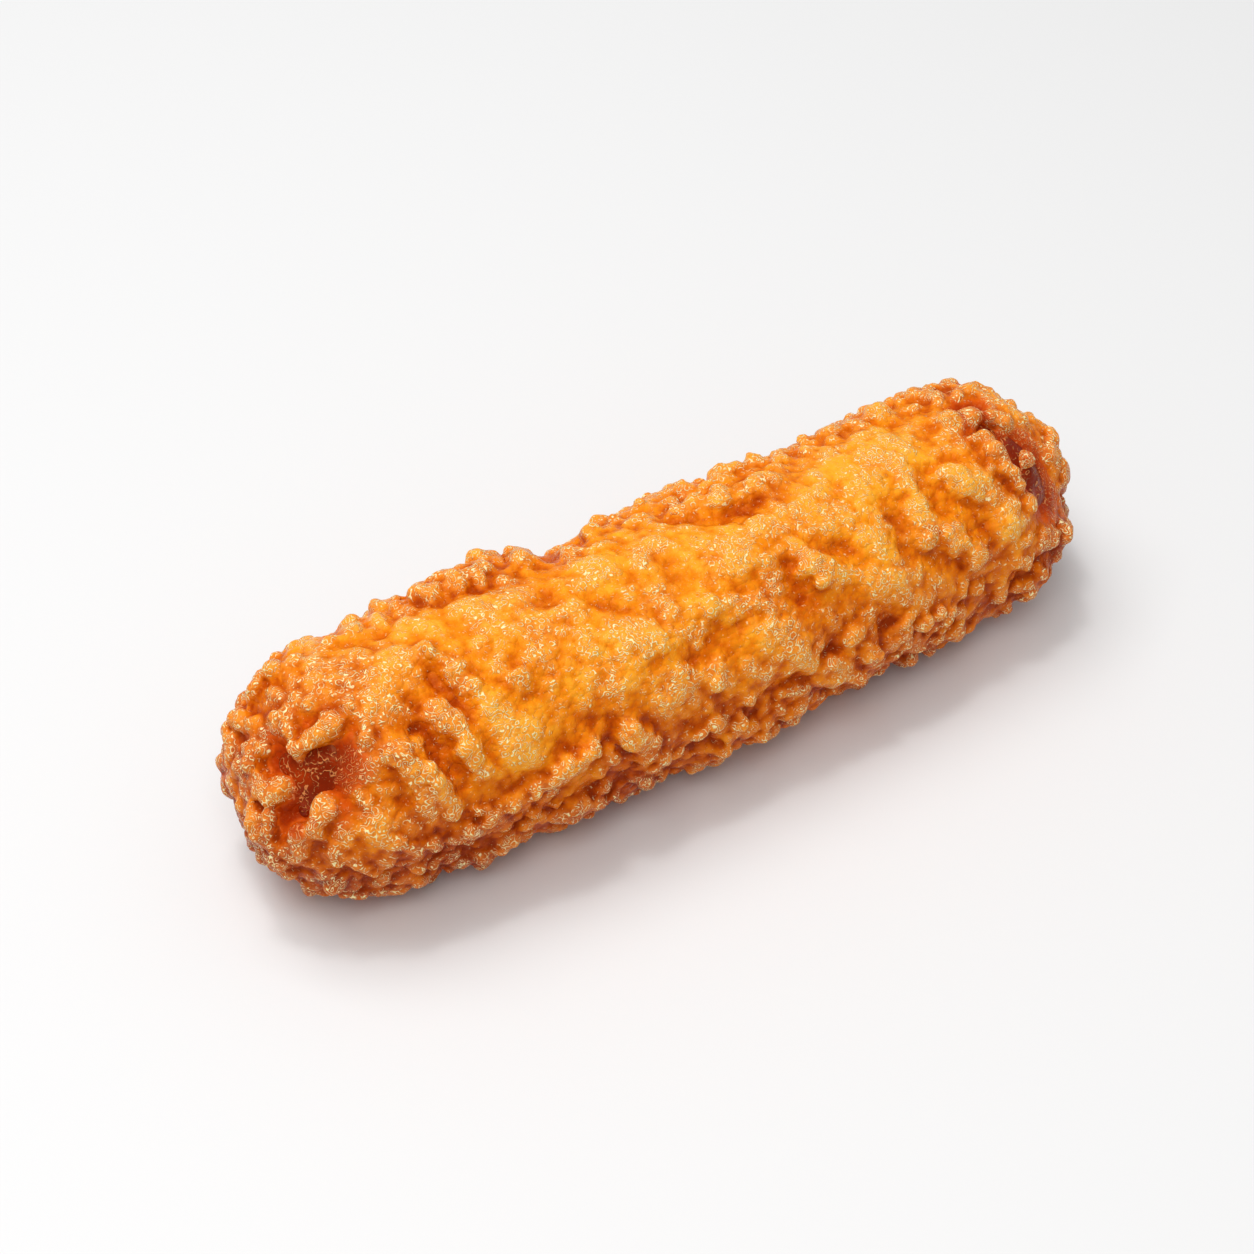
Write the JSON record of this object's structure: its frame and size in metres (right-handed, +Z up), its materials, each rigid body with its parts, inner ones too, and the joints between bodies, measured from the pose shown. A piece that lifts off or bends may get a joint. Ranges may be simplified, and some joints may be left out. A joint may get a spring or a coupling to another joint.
{
  "type": "battered sausage",
  "caption": "Fried sausage in a craggy golden batter coat, round-ended and slightly bowed, with red-brown casing bare in patches near the ends.",
  "frame": {"origin": "centre of the flat spot that the roll rests on, under the middle of its length", "axes": "+X along the roll towards its slightly thinner end, +Z up from the surface it lies on, +Y towards the hollow side of its slight bow"},
  "size_m": [0.1456, 0.0436, 0.0397],
  "materials": {
    "fried_batter": "rough and bubbly with an oily sheen",
    "casing": "glossy and lightly wrinkled"
  },
  "bodies": {
    "root": {"batter": "fried_batter", "sausage": "casing"}
  },
  "joints": []
}
